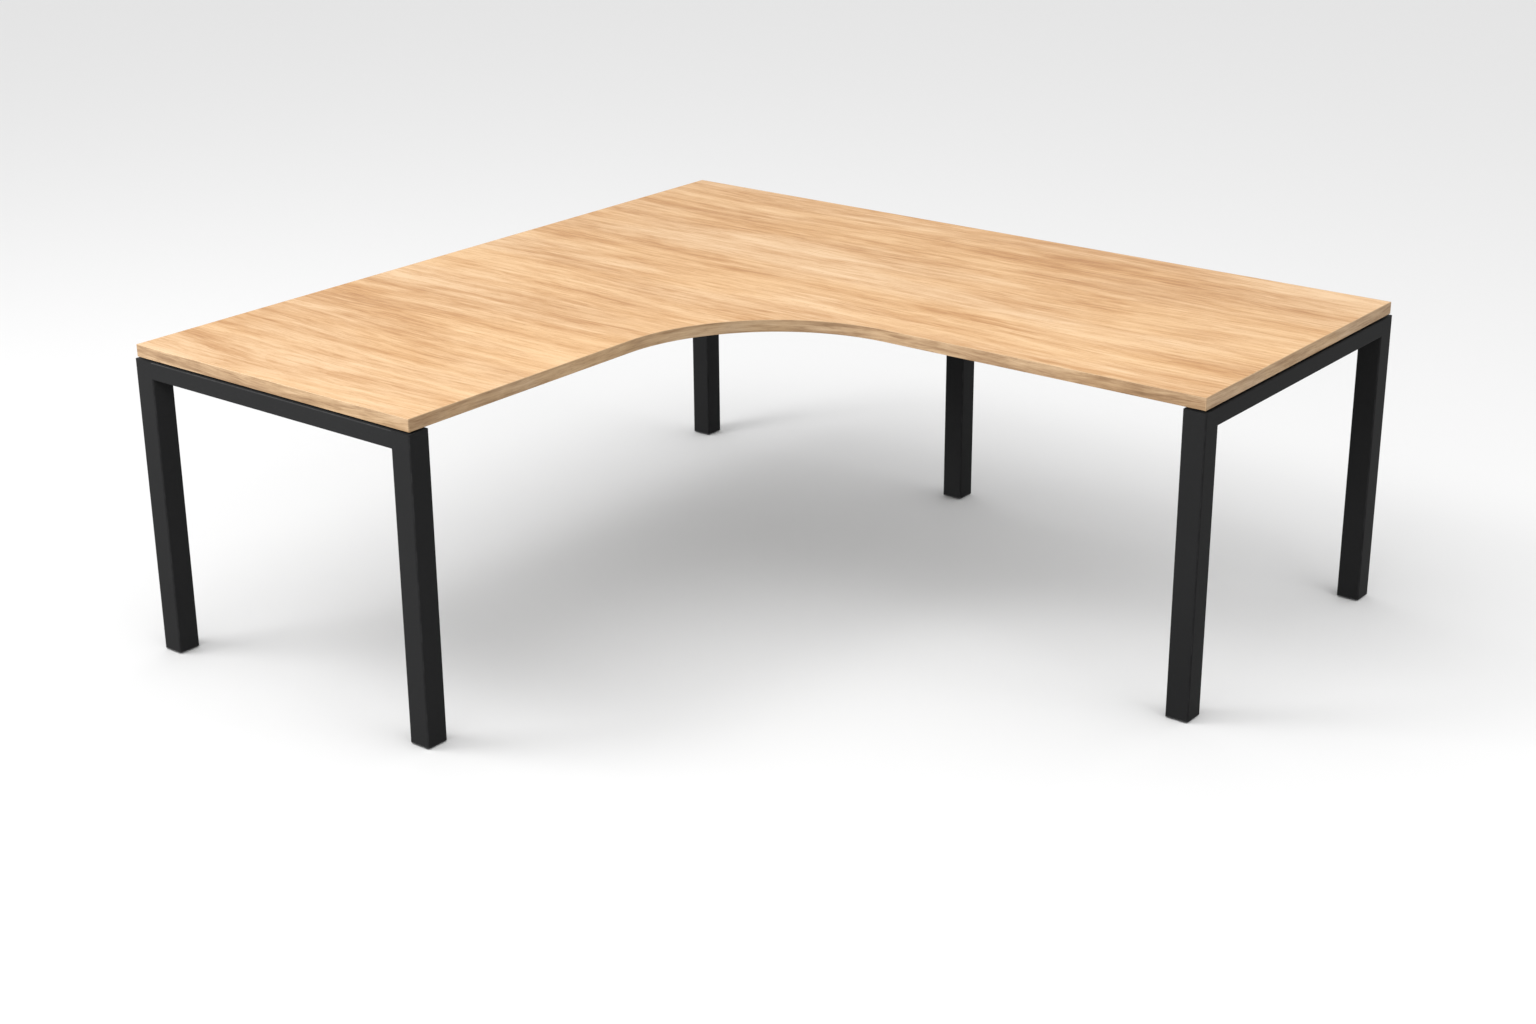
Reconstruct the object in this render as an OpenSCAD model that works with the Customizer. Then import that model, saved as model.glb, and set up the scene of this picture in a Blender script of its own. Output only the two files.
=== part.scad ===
// Corner desk: an L-shaped board on three square-tube frames, joined by four beams.
// Millimetres, +Z up, origin on the floor at the centre of the desk's footprint.
// The layout is measured from the outer corner of the desktop, where its back and
// left edges meet: X runs right along the back edge, and Y is negative to the front.

/* [Desktop] */
// Width of the desktop along its back edge
top_w = 2050; // [1900:10:2300]
// Depth of the desktop along its left edge
top_d = 1950; // [1800:10:2200]
// Depth of the right wing, from the back edge to its front edge
right_wing = 880; // [800:10:960]
// Depth of the left wing, from the left edge to its inner edge
left_wing = 850; // [780:10:900]
// Radius of the concave inner corner
inner_r = 400; // [250:10:500]
// Height of the desktop above the floor
desk_h = 730; // [700:5:760]
// Thickness of the board
top_t = 28; // [22:1:30]
// Thickness of the edge bands
band_t = 2; // [2:0.5:3]
// Rounding along the arrises of the edge bands
arris_r = 1; // [0.5:0.1:1]
// Rounding down the upright corners of the edge bands
corner_r = 1.5; // [0.5:0.5:1.5]

/* [Frames] */
// Side of the square leg tubes
leg_s = 55; // [53:1:60]
// Corner radius of the leg tubes
leg_r = 4; // [3:0.5:6]
// Wall thickness of every tube
wall = 2; // [1.5:0.5:2.5]
// Height of the crossbars and beams
bar_h = 40; // [36:1:50]
// Corner radius of the crossbars and beams
bar_r = 3; // [2.6:0.2:4]
// Width of the beams
beam_w = 40; // [36:1:50]
// Overall width of the frame under the outer corner
corner_frame_w = 920; // [910:10:1000]
// Distance that the frames stand proud of the desktop's edges
proud = 4; // [0:1:8]
// Shadow gap between the frames and the desktop
gap = 4; // [3:1:8]
// Distance from a wing's edge to the middle of its beam
beam_inset = 150; // [140:10:200]
// Thickness of the plates that close the legs' tops
cap_t = 3; // [2:0.5:4]

/* [Joints between beams and frames] */
// Width of a beam's end plate
plate_w = 110; // [104:2:130]
// Height of a beam's end plate
plate_h = 34; // [30:1:36]
// Thickness of a beam's end plate
plate_t = 5; // [4:1:6]
// Distance of each bolt from the middle of its plate
bolt_offset = 40; // [38:1:44]
// Length of the bolts under the head
bolt_len = 20; // [18:1:25]

/* [Desktop fixing] */
// Radius of the spacer discs in the shadow gap
spacer_r = 16; // [12:1:18]
// Depth of the screws in the board
screw_bite = 16; // [12:1:18]

/* [Levelling feet] */
// Height of the leg's lower end above the floor, with the foot screwed right in
foot_gap = 3; // [2:0.5:6]
// Radius of the foot pads
pad_r = 20; // [17:0.5:20]
// Height of the foot pads
pad_h = 9.5; // [9:0.5:10]
// Height of the plug inside the leg
plug_h = 30; // [28:1:40]
// Travel of the levelling feet
foot_travel = 12; // [8:1:12]

/* [Hidden] */

$fn = 64;
eps = 1;                                  // overrun of a cutting shape
frame_top = desk_h - top_t - gap;         // top of the legs, crossbars and beams
bar_z = frame_top - bar_h / 2;            // middle of the crossbars and beams
leg_in = leg_s / 2 - proud;               // distance from an edge of the top to a leg's middle
bar_face = leg_s - proud;                 // distance from an edge of the top to a crossbar's inner face

// Middles of the legs
left_outer = [leg_in, leg_in - top_d];
left_inner = [left_wing - leg_in, leg_in - top_d];
corner_left = [leg_in, -leg_in];
corner_right = [corner_frame_w - proud - leg_s / 2, -leg_in];
right_back = [top_w - leg_in, -leg_in];
right_front = [top_w - leg_in, leg_in - right_wing];
LEGS = [left_outer, left_inner, corner_left, corner_right, right_back, right_front];

// Crossbars, from the middle of one leg to the middle of the next
left_crossbar = [left_outer, left_inner];
corner_crossbar = [corner_left, corner_right];
right_crossbar = [right_back, right_front];
CROSSBARS = [left_crossbar, corner_crossbar, right_crossbar];

// Beams, from the face that one end is bolted to to the face at the other end
inner_beam_x = left_wing - beam_inset;
left_outer_beam = [[beam_inset, bar_face - top_d], [beam_inset, -bar_face]];
left_inner_beam = [[inner_beam_x, bar_face - top_d], [inner_beam_x, -bar_face]];
right_back_beam = [[inner_beam_x + beam_w / 2, -beam_inset], [top_w - bar_face, -beam_inset]];
right_front_beam = [
    [inner_beam_x + beam_w / 2, beam_inset - right_wing],
    [top_w - bar_face, beam_inset - right_wing]
];
BEAMS = [left_outer_beam, left_inner_beam, right_back_beam, right_front_beam];

// Places of the desktop screws, as shares of a crossbar's or a beam's length
CROSSBAR_SCREWS = [1 / 3, 2 / 3];
BEAM_SCREWS = [0.1, 0.5, 0.9];
SCREWS = [
    for (bar = CROSSBARS, share = CROSSBAR_SCREWS) between(bar, share),
    for (beam = BEAMS, share = BEAM_SCREWS) between(beam, share)
];

// Bolted joints, each as its place, height and fasteners' sizes
bolt_r = 3.95;
nut_bore_r = 4;
nut_r = 5.5;
nut_bulge_r = 7.5;
nut_len = 14;
plate_hole_r = 4.5;
washer_r = 8;
washer_t = 1.6;
head_r = 7;
head_h = 4.4;

// Desktop screws
screw_r = 2.4;
pilot_r = 2.45;
screw_hole_r = 3;
access_r = 7;
screw_head_r = 5.5;
screw_head_h = 3.5;

// Levelling feet and their inserts
flange_t = 2;                             // square flange under the leg tube's end
leg_z = foot_gap + flange_t;              // lower end of the leg tube
plug_play = 0.2;                          // room between the plug and the tube's inside
recess_r = pad_r + 2;
recess_top = pad_h + 0.5;
bush_r = 8;
bush_bore_r = 5;
bush_low = recess_top + 2;
bush_top = leg_z + plug_h - 1;
stem_r = 4.95;
stem_low = 3;                             // lower end of the stem, inside the pad
stem_top = bush_top + foot_travel;

function between(line, share) = line[0] + (line[1] - line[0]) * share;
function angle_of(line) = atan2(line[1][1] - line[0][1], line[1][0] - line[0][0]);

module from_corner() translate([-top_w / 2, top_d / 2, 0]) children();

// ---- Shared shapes ----

module rounded_rect(w, h, r) {
    square([w - 2 * r, h], center = true);
    square([w, h - 2 * r], center = true);
    for (x = [-1, 1], y = [-1, 1])
        translate([x * (w / 2 - r), y * (h / 2 - r)]) circle(r);
}

module tube_section(w, h, r) {
    difference() {
        rounded_rect(w, h, r);
        rounded_rect(w - 2 * wall, h - 2 * wall, r - wall);
    }
}

// A tube along X between two points, with the desktop screws' holes
module bar(line, w, cut_back, screws) {
    len = norm(line[1] - line[0]);
    translate([each between(line, 0.5), bar_z]) rotate(angle_of(line)) difference() {
        rotate([90, 0, 90])
            linear_extrude(len - 2 * cut_back, center = true) tube_section(w, bar_h, bar_r);
        for (share = screws) translate([len * (share - 0.5), 0, 0]) {
            cylinder(r = screw_hole_r, h = bar_h / 2 + eps);
            mirror([0, 0, 1]) cylinder(r = access_r, h = bar_h / 2 + eps);
        }
    }
}

// Places children at both bolts of every beam's ends, with Z pointing out of the frame
module at_bolts() {
    for (beam = BEAMS, end = [0, 1], side = [-1, 1])
        translate([each beam[end], bar_z]) rotate(angle_of(beam) + 180 * end)
            translate([0, side * bolt_offset, 0]) rotate([0, 90, 0]) children();
}

// Outline of the desktop, drawn in by a distance all round
module top_outline(inset) {
    arc_r = inner_r + inset;
    centre = [left_wing + inner_r, -right_wing - inner_r];
    translate([inset, inset - top_d]) square([left_wing - 2 * inset, top_d - 2 * inset]);
    translate([inset, inset - right_wing]) square([top_w - 2 * inset, right_wing - 2 * inset]);
    difference() {
        translate([left_wing - inset - eps, -right_wing - inner_r])
            square([arc_r + eps, arc_r + eps]);
        translate(centre) circle(arc_r, $fn = 256);
    }
}

// Cross-section of an edge band, with its outer face at X = 0 and the board at negative X
module band_section() {
    translate([-band_t, 0]) square([band_t - arris_r, top_t]);
    translate([-arris_r - 0.1, arris_r]) square([arris_r + 0.1, top_t - 2 * arris_r]);
    for (z = [arris_r, top_t - arris_r])
        translate([-arris_r, z]) circle(arris_r, $fn = 32);
}

// Plan of a straight edge band, its outer corners rounded by r_start and r_end
module band_plan(len, r_start, r_end) {
    translate([r_start, 0]) square([len - r_start - r_end, band_t]);
    translate([0, max(r_start, r_end)]) square([len, band_t - max(r_start, r_end)]);
    if (r_start > 0) translate([r_start, r_start]) circle(r_start, $fn = 32);
    if (r_end > 0) translate([len - r_end, r_end]) circle(r_end, $fn = 32);
}

// A straight edge band along X, its outer face at Y = 0 and facing -Y. An end that makes a
// corner of the desktop has a rounded corner, and one that butts against a band is square.
module straight_band(len, r_start = 0, r_end = 0) {
    translate([0, 0, desk_h - top_t]) intersection() {
        rotate([90, 0, 90]) linear_extrude(len) mirror([1, 0]) band_section();
        linear_extrude(top_t) band_plan(len, r_start, r_end);
    }
}

// ---- Desktop ----

module desktop_board() {
    color("burlywood") from_corner() difference() {
        translate([0, 0, desk_h - top_t]) linear_extrude(top_t) top_outline(band_t);
        for (at = SCREWS) translate([each at, desk_h - top_t - eps])
            cylinder(r = pilot_r, h = screw_bite + 1 + eps);
    }
}

module left_edge_band() {
    color("tan") from_corner() translate([0, -band_t, 0]) rotate(-90)
        straight_band(top_d - 2 * band_t);
}

module back_edge_band() {
    color("tan") from_corner() translate([top_w, 0, 0]) rotate(180)
        straight_band(top_w, corner_r, corner_r);
}

module left_end_edge_band() {
    color("tan") from_corner() translate([0, -top_d, 0])
        straight_band(left_wing, corner_r, corner_r);
}

module right_end_edge_band() {
    color("tan") from_corner() translate([top_w, -right_wing, 0]) rotate(90)
        straight_band(right_wing - band_t, corner_r, 0);
}

module inner_edge_band() {
    color("tan") from_corner() {
        translate([left_wing, band_t - top_d, 0]) rotate(90)
            straight_band(top_d - right_wing - inner_r - band_t);
        translate([left_wing + inner_r, -right_wing, 0])
            straight_band(top_w - left_wing - inner_r - band_t);
        translate([left_wing + inner_r, -right_wing - inner_r, desk_h - top_t]) rotate(90)
            rotate_extrude(angle = 90, $fn = 256)
                translate([inner_r, 0]) mirror([1, 0]) band_section();
    }
}

module desktop_spacers() {
    color("dimgray") from_corner() for (at = SCREWS) translate([each at, frame_top]) difference() {
        cylinder(r = spacer_r, h = gap);
        translate([0, 0, -eps]) cylinder(r = screw_hole_r, h = gap + 2 * eps);
    }
}

module desktop_screws() {
    color("silver") from_corner() for (at = SCREWS) translate([each at, frame_top - wall]) {
        cylinder(r = screw_r, h = wall + gap + screw_bite - 2);
        translate([0, 0, wall + gap + screw_bite - 2]) cylinder(r1 = screw_r, r2 = 0.4, h = 2);
        difference() {
            mirror([0, 0, 1]) cylinder(r = screw_head_r, h = screw_head_h);
            for (turn = [0, 90]) rotate(turn)
                translate([0, 0, -screw_head_h]) cube([6, 1.2, 4], center = true);
        }
    }
}

// ---- Frames ----

module leg(at) {
    color([0.16, 0.16, 0.17]) from_corner() translate([each at, leg_z])
        linear_extrude(frame_top - cap_t - leg_z) tube_section(leg_s, leg_s, leg_r);
}

module leg_top_caps() {
    color([0.16, 0.16, 0.17]) from_corner() for (at = LEGS) translate([each at, frame_top - cap_t])
        linear_extrude(cap_t) rounded_rect(leg_s, leg_s, leg_r);
}

// A crossbar between two legs, its ends shaped to the legs' rounded corners
module crossbar(line) {
    color([0.16, 0.16, 0.17]) from_corner() difference() {
        bar(line, leg_s, leg_s / 2 - 0.8 * leg_r, CROSSBAR_SCREWS);
        for (at = line) translate([each at, frame_top - bar_h - eps])
            linear_extrude(bar_h + 2 * eps) rounded_rect(leg_s, leg_s, leg_r);
        rivet_nut_holes();
    }
}

module beam(line) {
    color([0.16, 0.16, 0.17]) from_corner() difference() {
        bar(line, beam_w, plate_t, BEAM_SCREWS);
        rivet_nut_holes();
    }
}

module rivet_nut_holes() {
    at_bolts() translate([0, 0, -wall - eps]) cylinder(r = nut_r, h = wall + 2 * eps);
}

module beam_end_plates() {
    color([0.16, 0.16, 0.17]) from_corner() for (beam = BEAMS, end = [0, 1])
        translate([each beam[end], bar_z]) rotate(angle_of(beam) + 180 * end) rotate([90, 0, 90])
            linear_extrude(plate_t) difference() {
                rounded_rect(plate_w, plate_h, 3);
                for (side = [-1, 1]) translate([side * bolt_offset, 0]) circle(plate_hole_r);
            }
}

// Button-head bolts with a hexagon socket
module beam_bolts() {
    color("silver") from_corner() at_bolts() translate([0, 0, plate_t + washer_t]) difference() {
        union() {
            translate([0, 0, -bolt_len]) cylinder(r = bolt_r, h = bolt_len);
            cylinder(r = head_r, h = 2);
            translate([0, 0, 2]) cylinder(r1 = head_r, r2 = 4.6, h = head_h - 2);
        }
        translate([0, 0, head_h - 2.6]) cylinder(d = 5.8, h = 3, $fn = 6);
    }
}

module beam_washers() {
    color("silver") from_corner() at_bolts() translate([0, 0, plate_t]) difference() {
        cylinder(r = washer_r, h = washer_t);
        translate([0, 0, -eps]) cylinder(r = 4.2, h = washer_t + 2 * eps);
    }
}

// Blind-side nuts set in the tube walls, each with the bulge that grips behind the wall
module rivet_nuts() {
    color("gainsboro") from_corner() at_bolts() difference() {
        union() {
            translate([0, 0, -nut_len]) cylinder(r = nut_r, h = nut_len);
            translate([0, 0, -wall - 4]) cylinder(r = nut_bulge_r, h = 4);
        }
        translate([0, 0, -nut_len - eps]) cylinder(r = nut_bore_r, h = nut_len + 2 * eps);
    }
}

// ---- Levelling feet ----

// Plug in the leg's lower end, with a square flange, a recess for the pad and a steel bush
module leg_insert(at) {
    plug_s = leg_s - 2 * wall - 2 * plug_play;
    color([0.1, 0.1, 0.1]) from_corner() translate(at) difference() {
        union() {
            translate([0, 0, foot_gap]) linear_extrude(flange_t) rounded_rect(leg_s, leg_s, leg_r);
            translate([0, 0, foot_gap]) linear_extrude(flange_t + plug_h)
                rounded_rect(plug_s, plug_s, leg_r - wall);
        }
        translate([0, 0, foot_gap - eps]) cylinder(r = recess_r, h = recess_top - foot_gap + eps);
        translate([0, 0, recess_top - eps]) cylinder(r = stem_r + 1, h = plug_h);
        translate([0, 0, bush_low]) cylinder(r = bush_r, h = plug_h);
    }
}

module insert_bushes() {
    color("silver") from_corner() for (at = LEGS) translate([each at, bush_low]) difference() {
        cylinder(r = bush_r, h = bush_top - bush_low);
        translate([0, 0, -eps]) cylinder(r = bush_bore_r, h = bush_top - bush_low + 2 * eps);
    }
}

// Round pad with finger scallops, for turning the foot by hand
module foot_pad(at) {
    scallops = 12;
    color([0.1, 0.1, 0.1]) from_corner() translate(at) difference() {
        union() {
            cylinder(r1 = pad_r - 1, r2 = pad_r, h = 1);
            translate([0, 0, 1]) cylinder(r = pad_r, h = pad_h - 1);
        }
        for (turn = [1 : scallops]) rotate(turn * 360 / scallops)
            translate([pad_r + 1.6, 0, 2.5]) cylinder(r = 3, h = pad_h);
        translate([0, 0, stem_low]) cylinder(r = bush_bore_r, h = pad_h);
    }
}

module foot_stem(at) {
    color("silver") from_corner() translate([each at, stem_low]) {
        cylinder(r = stem_r, h = stem_top - stem_low - 1);
        translate([0, 0, stem_top - stem_low - 1])
            cylinder(r1 = stem_r, r2 = stem_r - 1, h = 1);
    }
}

desktop_board();
left_edge_band();
back_edge_band();
left_end_edge_band();
right_end_edge_band();
inner_edge_band();
leg(left_outer);  // left_frame_outer_leg
leg(left_inner);  // left_frame_inner_leg
leg(corner_left);  // corner_frame_left_leg
leg(corner_right);  // corner_frame_right_leg
leg(right_back);  // right_frame_back_leg
leg(right_front);  // right_frame_front_leg
leg_top_caps();
crossbar(left_crossbar);  // left_frame_crossbar
crossbar(corner_crossbar);  // corner_frame_crossbar
crossbar(right_crossbar);  // right_frame_crossbar
beam(left_outer_beam);  // left_wing_outer_beam
beam(left_inner_beam);  // left_wing_inner_beam
beam(right_back_beam);  // right_wing_back_beam
beam(right_front_beam);  // right_wing_front_beam
beam_end_plates();
beam_bolts();
beam_washers();
rivet_nuts();
desktop_spacers();
desktop_screws();
leg_insert(left_outer);  // left_outer_leg_insert
leg_insert(left_inner);  // left_inner_leg_insert
leg_insert(corner_left);  // corner_left_leg_insert
leg_insert(corner_right);  // corner_right_leg_insert
leg_insert(right_back);  // right_back_leg_insert
leg_insert(right_front);  // right_front_leg_insert
insert_bushes();
foot_pad(left_outer);  // left_outer_foot_pad
foot_pad(left_inner);  // left_inner_foot_pad
foot_pad(corner_left);  // corner_left_foot_pad
foot_pad(corner_right);  // corner_right_foot_pad
foot_pad(right_back);  // right_back_foot_pad
foot_pad(right_front);  // right_front_foot_pad
foot_stem(left_outer);  // left_outer_foot_stem
foot_stem(left_inner);  // left_inner_foot_stem
foot_stem(corner_left);  // corner_left_foot_stem
foot_stem(corner_right);  // corner_right_foot_stem
foot_stem(right_back);  // right_back_foot_stem
foot_stem(right_front);  // right_front_foot_stem
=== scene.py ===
"""The corner desk's looks: oak finish, powder-coated steel, nylon and zinc, in a pale studio."""
import math

import bmesh
import bpy
from mathutils import Matrix, Vector

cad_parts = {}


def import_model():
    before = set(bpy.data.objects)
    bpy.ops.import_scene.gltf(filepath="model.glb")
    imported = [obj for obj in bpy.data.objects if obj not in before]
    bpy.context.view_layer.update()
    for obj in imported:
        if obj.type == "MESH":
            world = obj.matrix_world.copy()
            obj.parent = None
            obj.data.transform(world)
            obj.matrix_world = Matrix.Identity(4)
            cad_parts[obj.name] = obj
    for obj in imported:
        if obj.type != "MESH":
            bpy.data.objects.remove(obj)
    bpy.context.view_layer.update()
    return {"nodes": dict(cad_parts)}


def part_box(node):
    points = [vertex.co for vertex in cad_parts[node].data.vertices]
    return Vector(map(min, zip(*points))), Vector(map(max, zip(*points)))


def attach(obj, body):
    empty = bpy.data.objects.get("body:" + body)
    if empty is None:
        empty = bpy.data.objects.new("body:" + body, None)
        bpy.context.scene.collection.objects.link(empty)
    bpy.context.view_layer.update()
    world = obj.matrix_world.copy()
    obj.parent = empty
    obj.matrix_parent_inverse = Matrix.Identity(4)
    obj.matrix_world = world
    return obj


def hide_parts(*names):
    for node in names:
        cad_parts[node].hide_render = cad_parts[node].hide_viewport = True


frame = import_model()
nodes = frame["nodes"]
MM = 0.001

# Where the desktop lies, from the frame
board_low, board_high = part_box("desktop_board")
inner_low, inner_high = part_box("inner_edge_band")
TOP_Z = board_high.z


class Graph:
    """Short calls for building one material's node tree round a Principled shader."""

    def __init__(self, name):
        self.material = bpy.data.materials.new(name)
        self.material.use_nodes = True
        self.tree = self.material.node_tree
        self.tree.nodes.clear()
        self.shader = self.add("ShaderNodeBsdfPrincipled")
        output = self.add("ShaderNodeOutputMaterial")
        self.tree.links.new(self.shader.outputs["BSDF"], output.inputs["Surface"])
        place = self.add("ShaderNodeTexCoord")
        self.place = place.outputs["Object"]
        self.facing = place.outputs["Normal"]

    def add(self, kind, **settings):
        node = self.tree.nodes.new(kind)
        for key, value in settings.items():
            setattr(node, key, value)
        return node

    def put(self, socket, value):
        if isinstance(value, bpy.types.NodeSocket):
            self.tree.links.new(value, socket)
        elif hasattr(socket.default_value, "__len__") and not hasattr(value, "__len__"):
            socket.default_value = [value] * len(socket.default_value)
        else:
            socket.default_value = value

    def set(self, **inputs):
        for key, value in inputs.items():
            if isinstance(value, tuple) and len(value) == 3:
                value = (*value, 1.0)
            self.put(self.shader.inputs[key.replace("_", " ")], value)

    def math(self, operation, *values):
        node = self.add("ShaderNodeMath", operation=operation)
        for socket, value in zip(node.inputs, values):
            self.put(socket, value)
        return node.outputs[0]

    def sum(self, *values):
        total = values[0]
        for value in values[1:]:
            total = self.math("ADD", total, value)
        return total

    def times(self, *values):
        product = values[0]
        for value in values[1:]:
            product = self.math("MULTIPLY", product, value)
        return product

    def centred(self, value, amount):
        """value about 0.5, turned into a swing about 0 that is amount wide."""
        return self.math("MULTIPLY_ADD", value, amount, -0.5 * amount)

    def split(self, vector):
        node = self.add("ShaderNodeSeparateXYZ")
        self.put(node.inputs[0], vector)
        return node.outputs[0], node.outputs[1], node.outputs[2]

    def join(self, x, y, z=0.0):
        node = self.add("ShaderNodeCombineXYZ")
        for socket, value in zip(node.inputs, (x, y, z)):
            self.put(socket, value)
        return node.outputs[0]

    def noise(self, at, scale=1.0, detail=2.0, roughness=0.5):
        node = self.add("ShaderNodeTexNoise")
        for key, value in (("Vector", at), ("Scale", scale), ("Detail", detail),
                           ("Roughness", roughness)):
            self.put(node.inputs[key], value)
        return node.outputs[0]

    def between(self, value, low, high):
        """0 at low and 1 at high, with a smooth rise between them. low may be the larger."""
        node = self.add("ShaderNodeMapRange", interpolation_type="SMOOTHSTEP")
        for socket, number in zip(node.inputs, (value, low, high)):
            self.put(socket, number)
        return node.outputs[0]

    def ramp(self, value, stops):
        node = self.add("ShaderNodeValToRGB")
        elements = node.color_ramp.elements
        while len(elements) < len(stops):
            elements.new(0.5)
        for element, (position, colour) in zip(elements, stops):
            element.position = position
            element.color = (*colour, 1.0)
        self.put(node.inputs[0], value)
        return node.outputs[0]

    def mix(self, amount, first, second, blend="MIX"):
        node = self.add("ShaderNodeMix", data_type="RGBA", blend_type=blend)
        for socket, value in zip((node.inputs[0], node.inputs[6], node.inputs[7]),
                                 (amount, first, second)):
            if isinstance(value, tuple) and len(value) == 3:
                value = (*value, 1.0)
            self.put(socket, value)
        return node.outputs[2]

    def bump(self, height, depth):
        """Bumps of that depth, in metres, on the shader's normal."""
        node = self.add("ShaderNodeBump")
        self.put(node.inputs["Strength"], 1.0)
        self.put(node.inputs["Distance"], depth)
        self.put(node.inputs["Height"], height)
        self.put(self.shader.inputs["Normal"], node.outputs[0])

    def roundings(self):
        """0 on faces square to the axes, rising to 1 in the middle of rounded edges."""
        x, y, z = (self.math("ABSOLUTE", part) for part in self.split(self.facing))
        largest = self.math("MAXIMUM", self.math("MAXIMUM", x, y), z)
        return self.between(largest, 1.0, 0.72)


# ---- Oak ----

def grain(g, along, across, seed, broad=1.10, figured=0.08):
    """(tone, pores): tone about 0.5 is the oak's figure, and pores is 1 in its fine open grain.
    along runs with the grain and across lies across it, both in metres. broad is the strength
    of its wide dark and light stretches, and figured that of its growth rings."""
    def streak(scale_along, scale_across, at, detail=3.0, roughness=0.6):
        place = g.join(g.times(along, scale_along), g.times(row, scale_across), seed + at)
        return g.noise(place, detail=detail, roughness=roughness)

    wide_wave = g.noise(g.join(g.times(along, 0.9), g.times(across, 2.6), seed), detail=1.0)
    small_wave = g.noise(g.join(g.times(along, 7.0), g.times(across, 24.0), seed + 3.1))
    row = g.sum(across, g.centred(wide_wave, 0.10), g.centred(small_wave, 0.010))

    plank = streak(1.0, 6.0, 7.7, detail=2.0, roughness=0.5)
    bands = streak(2.6, 26.0, 1.3)
    streaks = streak(7.0, 100.0, 29.0)
    fibres = streak(20.0, 360.0, 5.9)
    tone = g.sum(0.52, g.centred(plank, broad), g.centred(bands, 1.20), g.centred(streaks, 0.85),
                 g.centred(fibres, 0.75))
    if figured:
        hills = streak(0.75, 3.4, 11.0, detail=0.0)
        rings = g.math("FRACT", g.math("MULTIPLY_ADD", hills, 17.0, g.times(row, 13.0)))
        late_wood = g.math("POWER", rings, 3.0)
        where_figured = g.between(streak(0.6, 2.1, 19.0, detail=2.0), 0.42, 0.66)
        figure = g.times(late_wood, g.math("MULTIPLY_ADD", where_figured, 0.7, 0.2))
        light_lines = g.between(streak(5.5, 140.0, 41.0, detail=2.0), 0.58, 0.66)
        tone = g.sum(tone, g.times(figure, -figured), g.times(light_lines, 2.0 * figured))
    crowded = g.between(streaks, 0.62, 0.40)
    dashes = streak(55.0, 1300.0, 23.0, detail=1.0, roughness=0.5)
    pores = g.times(g.between(dashes, 0.58, 0.70), g.math("MULTIPLY_ADD", crowded, 0.7, 0.3))
    return tone, pores


def oak_surface(g, tone, pores, stops, pore_colour, roughness):
    """(colour, roughness, relief) of satin oak finish with that grain."""
    x, y, z = g.split(g.place)
    warm = g.noise(g.join(g.times(x, 1.4), g.times(y, 6.0), g.times(z, 6.0)), detail=2.0)
    colour = g.mix(g.between(warm, 0.36, 0.64), g.ramp(tone, stops), WARM_TINT, "MULTIPLY")
    colour = g.mix(g.times(pores, 0.58), colour, pore_colour)
    worn = g.noise(g.place, scale=3.0, detail=3.0)
    gloss = g.sum(roughness, g.centred(tone, -0.10), g.centred(worn, 0.08), g.times(pores, 0.14))
    return colour, gloss, g.math("MULTIPLY_ADD", tone, 0.35, g.times(pores, -1.0))


def oak_edge(name, along_and_across, seed):
    """The oak edge bands. along_and_across picks the grain's directions from x, y and z."""
    g = Graph(name)
    x, y, z = g.split(g.place)
    along, across = along_and_across(g, x, y, z)
    tone, pores = grain(g, along, across, seed, broad=0.35, figured=0.0)
    blotches = g.noise(g.join(g.times(along, 16.0), g.times(across, 60.0), seed), detail=2.0)
    tone = g.sum(tone, g.centred(blotches, 0.35))
    colour, gloss, relief = oak_surface(g, tone, pores, EDGE_OAK, EDGE_PORE, 0.52)
    # Painted highlight: the band's top millimetre is mixed towards a lighter colour, standing in
    # for the light its small rounded top edge catches.
    arris_highlight_mask = g.between(z, TOP_Z - 1.2 * MM, TOP_Z - 0.3 * MM)
    g.set(Base_Color=g.mix(g.times(arris_highlight_mask, 0.55), colour, PAINTED_ARRIS_HIGHLIGHT), Roughness=gloss,
          Specular_IOR_Level=0.22)
    g.bump(relief, 0.05 * MM)
    return g.material


def edge_along_x(g, x, y, z):
    return x, g.sum(z, g.times(y, 0.3))


def edge_along_y(g, x, y, z):
    return y, g.sum(z, g.times(x, 0.3))


def edge_round_corner(g, x, y, z):
    """The way along the inner edge: up the left wing, round the corner, along the right wing."""
    radius = inner_corner_radius
    dx = g.math("SUBTRACT", x, inner_low.x + radius)
    dy = g.math("SUBTRACT", y, inner_high.y - radius)
    turn = g.math("ARCTAN2", g.math("MAXIMUM", dy, 0.0),
                  g.math("MAXIMUM", g.times(dx, -1.0), 1e-6))
    along = g.sum(g.math("MINIMUM", dy, 0.0), g.times(turn, radius), g.math("MAXIMUM", dx, 0.0))
    return along, z


def corner_radius():
    """Radius of the desktop's concave corner. The left wing's straight inner edge ends where the
    corner's arc begins, one radius short of the right wing's front edge."""
    below_arris = TOP_Z - 2 * MM
    straight = [vertex.co.y for vertex in nodes["inner_edge_band"].data.vertices
                if abs(vertex.co.x - inner_low.x) < 0.5 * MM and vertex.co.z < below_arris]
    return inner_high.y - max(straight)


inner_corner_radius = corner_radius()

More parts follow.
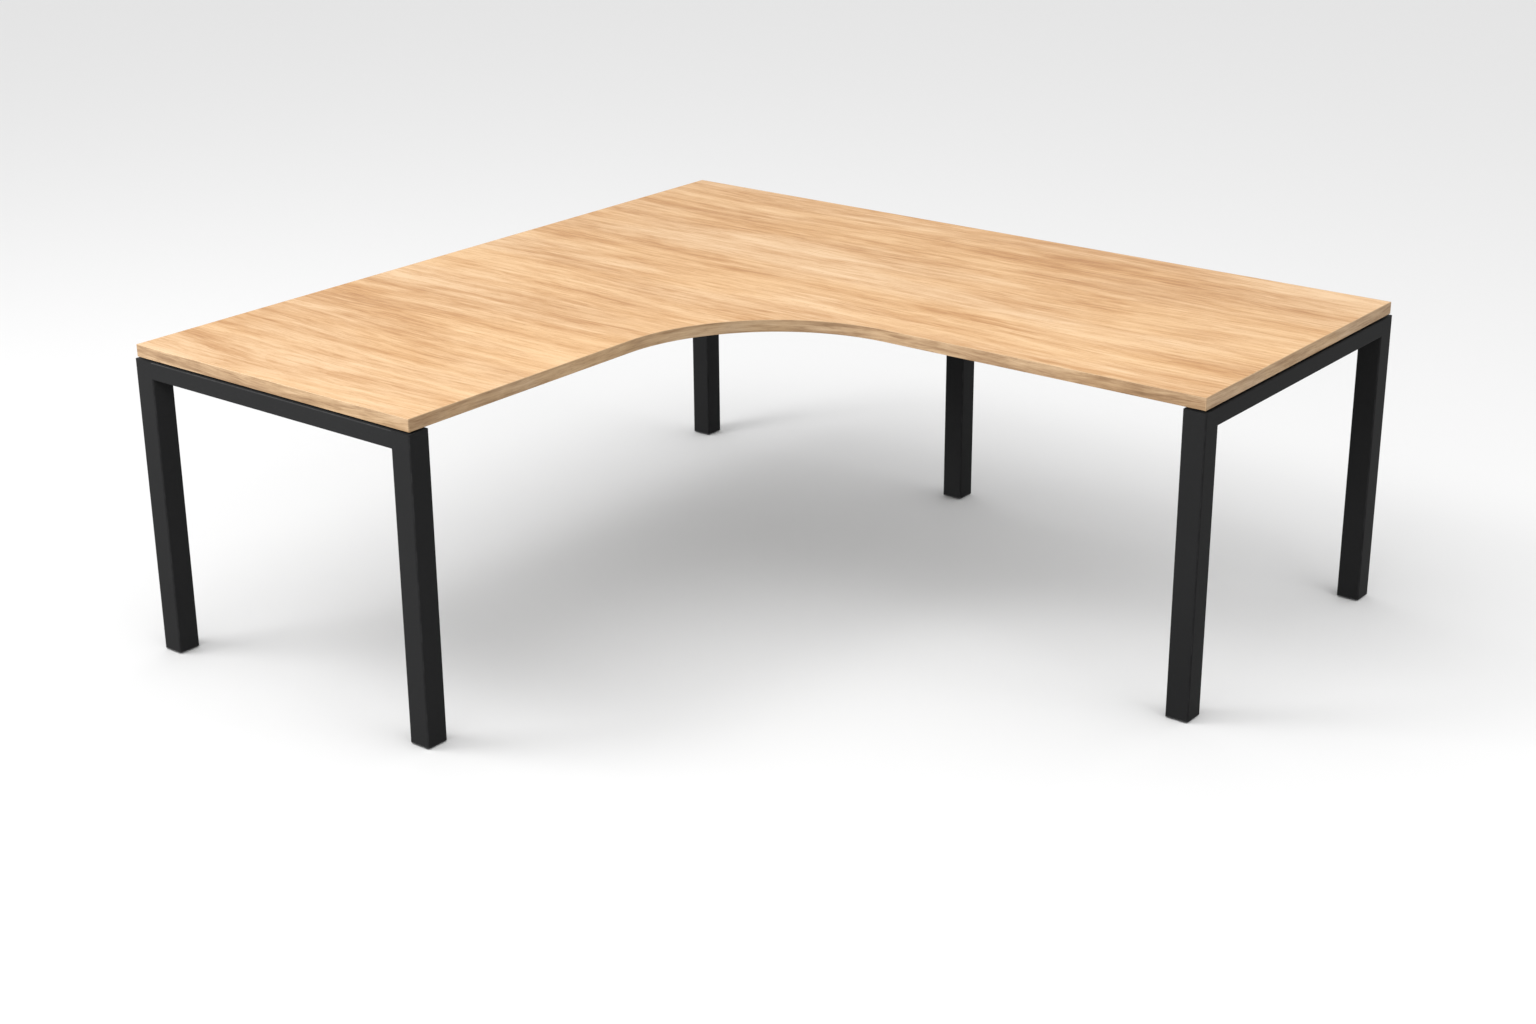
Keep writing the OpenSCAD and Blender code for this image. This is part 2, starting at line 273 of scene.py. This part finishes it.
TOP_OAK = [
    (0.08, (0.460, 0.230, 0.090)),
    (0.32, (0.580, 0.325, 0.145)),
    (0.50, (0.665, 0.405, 0.203)),
    (0.68, (0.740, 0.480, 0.260)),
    (0.92, (0.805, 0.552, 0.322)),
]
EDGE_OAK = [
    (0.10, (0.200, 0.118, 0.060)),
    (0.36, (0.307, 0.193, 0.106)),
    (0.52, (0.391, 0.261, 0.150)),
    (0.70, (0.467, 0.322, 0.195)),
    (0.92, (0.534, 0.388, 0.248)),
]
WARM_TINT = (1.0, 0.962, 0.880)
PORE = (0.44, 0.23, 0.10)
EDGE_PORE = (0.17, 0.10, 0.05)
# Colour of the painted highlight along the edge bands' rounded top edge.
PAINTED_ARRIS_HIGHLIGHT = (0.58, 0.39, 0.22)


def board_faces():
    """The board's oak upper face, and the plain grey balancing sheet on its underside."""
    g = Graph("oak_board_look")
    x, y, z = g.split(g.place)
    tone, pores = grain(g, x, y, 17.9)
    oak_colour, oak_gloss, oak_relief = oak_surface(g, tone, pores, TOP_OAK, PORE, 0.46)

    fibres = g.noise(g.place, scale=420.0, detail=4.0, roughness=0.7)
    smudges = g.noise(g.place, scale=7.0, detail=4.0, roughness=0.6)
    sheet_colour = g.ramp(g.sum(g.times(fibres, 0.5), g.times(smudges, 0.5)),
                          [(0.30, (0.37, 0.362, 0.35)), (0.55, (0.48, 0.472, 0.46)),
                           (0.75, (0.55, 0.542, 0.53))])
    sheet_gloss = g.sum(0.62, g.centred(fibres, 0.2))

    above = g.between(z, board_low.z + 1 * MM, board_low.z + 2 * MM)
    below = g.math("SUBTRACT", 1.0, above)
    g.set(Base_Color=g.mix(above, sheet_colour, oak_colour), Specular_IOR_Level=0.22,
          Roughness=g.sum(g.times(above, oak_gloss), g.times(below, sheet_gloss)))
    g.bump(g.sum(g.times(above, oak_relief), g.times(below, fibres, 0.5)), 0.05 * MM)
    return g.material


# ---- Other materials ----

def powder_coat():
    """Black satin powder coat, with its fine orange peel, and lighter colour on its rounded edges
    that is partly rubbed wear and partly a painted highlight.
    """
    g = Graph("black_powder_coat_look")
    peel = g.noise(g.place, scale=520.0, detail=2.0, roughness=0.55)
    cloud = g.noise(g.place, scale=4.0, detail=3.0)
    dust = g.between(g.noise(g.place, scale=1400.0, detail=0.0), 0.66, 0.80)
    rubbed_wear_and_highlight = g.times(g.roundings(), g.between(g.noise(g.place, scale=45.0, detail=3.0), 0.35, 0.7))
    colour = g.mix(cloud, (0.0104, 0.0105, 0.0107), (0.0144, 0.0145, 0.0148))
    colour = g.mix(g.times(dust, 0.35), colour, (0.035, 0.035, 0.036))
    # Lighter colour on the rounded edges: partly rubbed wear, partly a painted highlight.
    colour = g.mix(g.times(rubbed_wear_and_highlight, 0.5), colour, (0.034, 0.034, 0.035))
    gloss = g.sum(0.46, g.centred(cloud, 0.08), g.centred(peel, 0.06), g.times(rubbed_wear_and_highlight, -0.10))
    g.set(Base_Color=colour, Roughness=gloss, Specular_IOR_Level=0.03)
    g.bump(peel, 0.035 * MM)
    return g.material


def moulded_nylon():
    """Black nylon with a fine spark-eroded texture."""
    g = Graph("black_nylon_look")
    grit = g.noise(g.place, scale=1600.0, detail=2.0, roughness=0.6)
    cloud = g.noise(g.place, scale=60.0, detail=3.0)
    scuffed = g.times(g.roundings(), cloud)
    colour = g.mix(g.math("MULTIPLY_ADD", cloud, 0.7, g.times(scuffed, 0.3)),
                   (0.012, 0.012, 0.012), (0.026, 0.026, 0.027))
    g.set(Base_Color=colour, Roughness=g.sum(0.55, g.centred(grit, 0.2), g.centred(cloud, 0.1)))
    g.bump(grit, 0.04 * MM)
    return g.material


def rubber():
    """Dull black rubber for the spacers."""
    g = Graph("black_rubber_look")
    grit = g.noise(g.place, scale=900.0, detail=4.0, roughness=0.7)
    bloom = g.noise(g.place, scale=90.0, detail=3.0)
    g.set(Base_Color=g.mix(bloom, (0.010, 0.010, 0.010), (0.028, 0.028, 0.027)),
          Roughness=g.sum(0.80, g.centred(grit, 0.2)))
    g.bump(grit, 0.06 * MM)
    return g.material


def zinc():
    """Bright zinc plate with faint turning marks and a slightly clouded passivation."""
    g = Graph("zinc_plated_steel_look")
    cloud = g.noise(g.place, scale=180.0, detail=4.0, roughness=0.6)
    x, y, z = g.split(g.place)
    marks = g.noise(g.join(g.times(x, 300.0), g.times(y, 300.0), g.times(z, 5200.0)), detail=2.0)
    colour = g.ramp(cloud, [(0.25, (0.46, 0.47, 0.50)), (0.5, (0.60, 0.61, 0.63)),
                            (0.8, (0.70, 0.69, 0.66))])
    g.set(Base_Color=colour, Metallic=1.0,
          Roughness=g.sum(0.30, g.centred(cloud, 0.16), g.centred(marks, 0.12)))
    g.bump(marks, 0.01 * MM)
    return g.material


def dress(names, material):
    """Gives the CAD nodes of those names one material."""
    for name in names:
        for place in nodes[name].material_slots:
            place.material = material


def ending(*endings):
    return [name for name in nodes if name.endswith(endings)]


dress(["desktop_board"], board_faces())
dress(["back_edge_band", "left_end_edge_band"],
      oak_edge("oak_edge_x_look", edge_along_x, 31.0))
dress(["left_edge_band", "right_end_edge_band"],
      oak_edge("oak_edge_y_look", edge_along_y, 47.0))
dress(["inner_edge_band"],
      oak_edge("oak_edge_inner_look", edge_round_corner, 63.0))
coat, steel = powder_coat(), zinc()
dress(ending("_leg", "_crossbar", "_beam") + ["leg_top_caps", "beam_end_plates"], coat)
dress(ending("_insert", "_pad"), moulded_nylon())
dress(["desktop_spacers"], rubber())
dress(ending("_stem") + ["beam_bolts", "beam_washers", "rivet_nuts", "desktop_screws",
                         "insert_bushes"], steel)


# ---- Pieces with more detail than the CAD holds ----

def new_piece(name, points, faces, material, body):
    """A closed mesh riding on a body, with its faces turned outwards."""
    mesh = bpy.data.meshes.new(name)
    shape = bmesh.new()
    corners = [shape.verts.new(point) for point in points]
    for face in faces:
        shape.faces.new([corners[index] for index in face]).smooth = len(face) == 4
    bmesh.ops.recalc_face_normals(shape, faces=shape.faces)
    shape.to_mesh(mesh)
    shape.free()
    mesh.materials.append(material)
    obj = bpy.data.objects.new(name, mesh)
    bpy.context.scene.collection.objects.link(obj)
    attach(obj, body)
    return obj


def rings_of_faces(rings, around, closed):
    """Quads joining rings of points to the next ones, and back to the first ring if closed."""
    faces = []
    for ring in range(rings if closed else rings - 1):
        here, there = ring * around, (ring + 1) % rings * around
        for step in range(around):
            after = (step + 1) % around
            faces.append((here + step, here + after, there + after, there + step))
    return faces


def threaded_stem(place):
    """A levelling foot's M10 stem with its thread, where the CAD has a plain rod."""
    pitch, depth, chamfer = 1.5 * MM, 0.85 * MM, 1.2 * MM
    flank_steepness = 2.6
    around, rings_per_pitch = 24, 6
    low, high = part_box(place + "_foot_stem")
    middle = (low + high) / 2
    crest = (high.x - low.x) / 2
    rings = round((high.z - low.z) / pitch * rings_per_pitch) + 1
    points = []
    for ring in range(rings):
        z = low.z + (high.z - low.z) * ring / (rings - 1)
        widest = crest - max(0.0, chamfer - (high.z - z))
        for step in range(around):
            phase = ((z - low.z) / pitch - step / around) % 1.0
            radius = crest - depth * max(0.0, 1.0 - flank_steepness * abs(phase - 0.5))
            radius = min(radius, widest)
            angle = math.tau * step / around
            points.append((middle.x + radius * math.cos(angle),
                           middle.y + radius * math.sin(angle), z))
    faces = rings_of_faces(rings, around, closed=False)
    for ring, z in ((0, low.z), (rings - 1, high.z)):
        points.append((middle.x, middle.y, z))
        start = ring * around
        faces += [(start + step, start + (step + 1) % around, len(points) - 1)
                  for step in range(around)]
    stem = new_piece(place + "_threaded_stem", points, faces, steel, place + "_foot")
    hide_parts(place + "_foot_stem")
    return stem


def rounded_square(half, corner, step):
    """Points and outward directions round a square with rounded corners, about step apart."""
    straight, bend = 2 * (half - corner), math.pi / 2 * corner
    way = []
    for side in range(4):
        turn = side * math.pi / 2
        count = round(straight / step)
        for index in range(count):
            along = -straight / 2 + straight * index / count
            way.append((turn, half, along))
        count = max(3, round(bend / step))
        for index in range(count):
            way.append((turn, None, math.pi / 2 * index / count))
    places = []
    for turn, out, along in way:
        if out is None:
            angle = turn + along
            x = (half - corner) + corner * math.cos(along)
            y = (half - corner) + corner * math.sin(along)
        else:
            angle, x, y = turn, out, along
        cos, sin = math.cos(turn), math.sin(turn)
        place = (x * cos - y * sin, x * sin + y * cos)
        places.append((place, (math.cos(angle), math.sin(angle))))
    return places


def weld_bead(beam, end):
    """The rippled fillet weld that runs round a beam where it meets its end plate."""
    size, ripple, corner = 2.3 * MM, 1.8 * MM, 3.0 * MM
    points_per_ripple, around = 3, 8
    low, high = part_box(beam)
    long_way = "y" if high.y - low.y > high.x - low.x else "x"
    middle = (low + high) / 2
    setattr(middle, long_way, getattr(high if end else low, long_way))
    points = []
    places = rounded_square((high.z - low.z) / 2, corner, ripple / points_per_ripple)
    for index, ((across, up), (out_across, out_up)) in enumerate(places):
        hump = abs(math.sin(math.pi * index / points_per_ripple + 0.5))
        swell = size * (0.86 + 0.14 * hump)
        for step in range(around):
            angle = math.tau * step / around
            out, forward = swell * math.cos(angle), swell * math.sin(angle)
            side, rise = across + out * out_across, up + out * out_up
            offset = (forward, side) if long_way == "x" else (side, forward)
            points.append((middle.x + offset[0], middle.y + offset[1], middle.z + rise))
    faces = rings_of_faces(len(places), around, closed=True)
    name = beam + ("_weld_high_end" if end else "_weld_low_end")
    return new_piece(name, points, faces, coat, "desk")


stems = [threaded_stem(name.removesuffix("_foot_stem")) for name in ending("_foot_stem")]
welds = [weld_bead(beam, end) for beam in ending("_beam") for end in (False, True)]


# ---- Studio ----

def floor():
    """A wide pale floor under the desk."""
    half = 40.0
    mesh = bpy.data.meshes.new("studio_floor")
    corners = [(-half, -half, 0), (half, -half, 0), (half, half, 0), (-half, half, 0)]
    mesh.from_pydata(corners, [], [(0, 1, 2, 3)])
    obj = bpy.data.objects.new("studio_floor", mesh)
    bpy.context.scene.collection.objects.link(obj)
    g = Graph("studio_floor_paint")
    g.set(Base_Color=(0.84, 0.84, 0.84), Roughness=0.9, Specular_IOR_Level=0.1)
    mesh.materials.append(g.material)
    return obj


def soft_box(name, place, target, width, height, power):
    """A rectangular soft light at place, aimed at target. Sizes in metres, power in watts."""
    light = bpy.data.lights.new(name, "AREA")
    light.shape = "RECTANGLE"
    light.size = width
    light.size_y = height
    light.energy = power
    obj = bpy.data.objects.new(name, light)
    bpy.context.scene.collection.objects.link(obj)
    obj.location = place
    obj.rotation_mode = "QUATERNION"
    obj.rotation_quaternion = (Vector(target) - Vector(place)).to_track_quat("-Z", "Y")
    return obj


def shine_only_on(light, lit_objects):
    """Keeps a light off everything but those objects, as flags do in a studio."""
    lit = bpy.data.collections.new(light.name + "_falls_on")
    for obj in lit_objects:
        lit.objects.link(obj)
    light.light_linking.receiver_collection = lit


def world(brightness):
    """An even white surrounding."""
    studio = bpy.data.worlds.new("studio")
    bpy.context.scene.world = studio
    studio.use_nodes = True
    background = studio.node_tree.nodes["Background"]
    background.inputs["Color"].default_value = (1.0, 1.0, 1.0, 1.0)
    background.inputs["Strength"].default_value = brightness


def camera(place, azimuth, elevation, roll, lens):
    """A camera at place. Azimuth 0 looks along +Y and 90 along -X; the angles are in degrees."""
    data = bpy.data.cameras.new("photo_camera")
    data.lens = lens
    data.sensor_width = 36.0
    data.clip_start = 0.05
    data.clip_end = 200.0
    obj = bpy.data.objects.new("photo_camera", data)
    bpy.context.scene.collection.objects.link(obj)
    obj.location = place
    turn, tilt = math.radians(azimuth), math.radians(elevation)
    ahead = Vector((-math.sin(turn) * math.cos(tilt), math.cos(turn) * math.cos(tilt),
                    -math.sin(tilt)))
    obj.rotation_mode = "QUATERNION"
    level = ahead.to_track_quat("-Z", "Y")
    obj.rotation_quaternion = level @ Matrix.Rotation(math.radians(roll), 3, "Z").to_quaternion()
    bpy.context.scene.camera = obj


studio_floor = floor()
board = nodes["desktop_board"]
bands = [nodes[name] for name in ending("_edge_band")]
frames = [obj for obj in [*nodes.values(), *stems, *welds] if obj not in [board, *bands]]
world(0.90)
overhead = soft_box("overhead_key", (-0.6, -2.2, 5.5), (0.0, 0.0, 0.4), 5.0, 4.0, 82.0)
shine_only_on(overhead, [studio_floor, *bands, *frames])
desktop_key = soft_box("desktop_key", (1.2, -2.2, 4.33), (0.0, 0.0, 0.7), 3.0, 2.0, 48.0)
shine_only_on(desktop_key, [board])
soft_box("front_left_key", (-2.4, -2.4, 4.2), (0.0, 0.0, 0.4), 1.5, 1.5, 50.0)
right_fill = soft_box("right_fill", (4.0, 0.0, 4.0), (0.0, 0.0, 0.4), 3.0, 3.0, 39.0)
shine_only_on(right_fill, [studio_floor, board])
front_light = soft_box("front_light", (-4.6, -3.9, 2.8), (0.0, -0.2, 0.5), 3.0, 1.5, 375.0)
shine_only_on(front_light, [*bands, *frames])
near_light = soft_box("near_light", (0.1, -2.1, 1.9), (0.2, -0.6, 0.6), 2.0, 0.6, 44.0)
shine_only_on(near_light, frames)
camera((3.178, -4.085, 2.2645), 38.17, 21.03, -0.39, 56.22)
bpy.context.scene.view_settings.view_transform = "Standard"
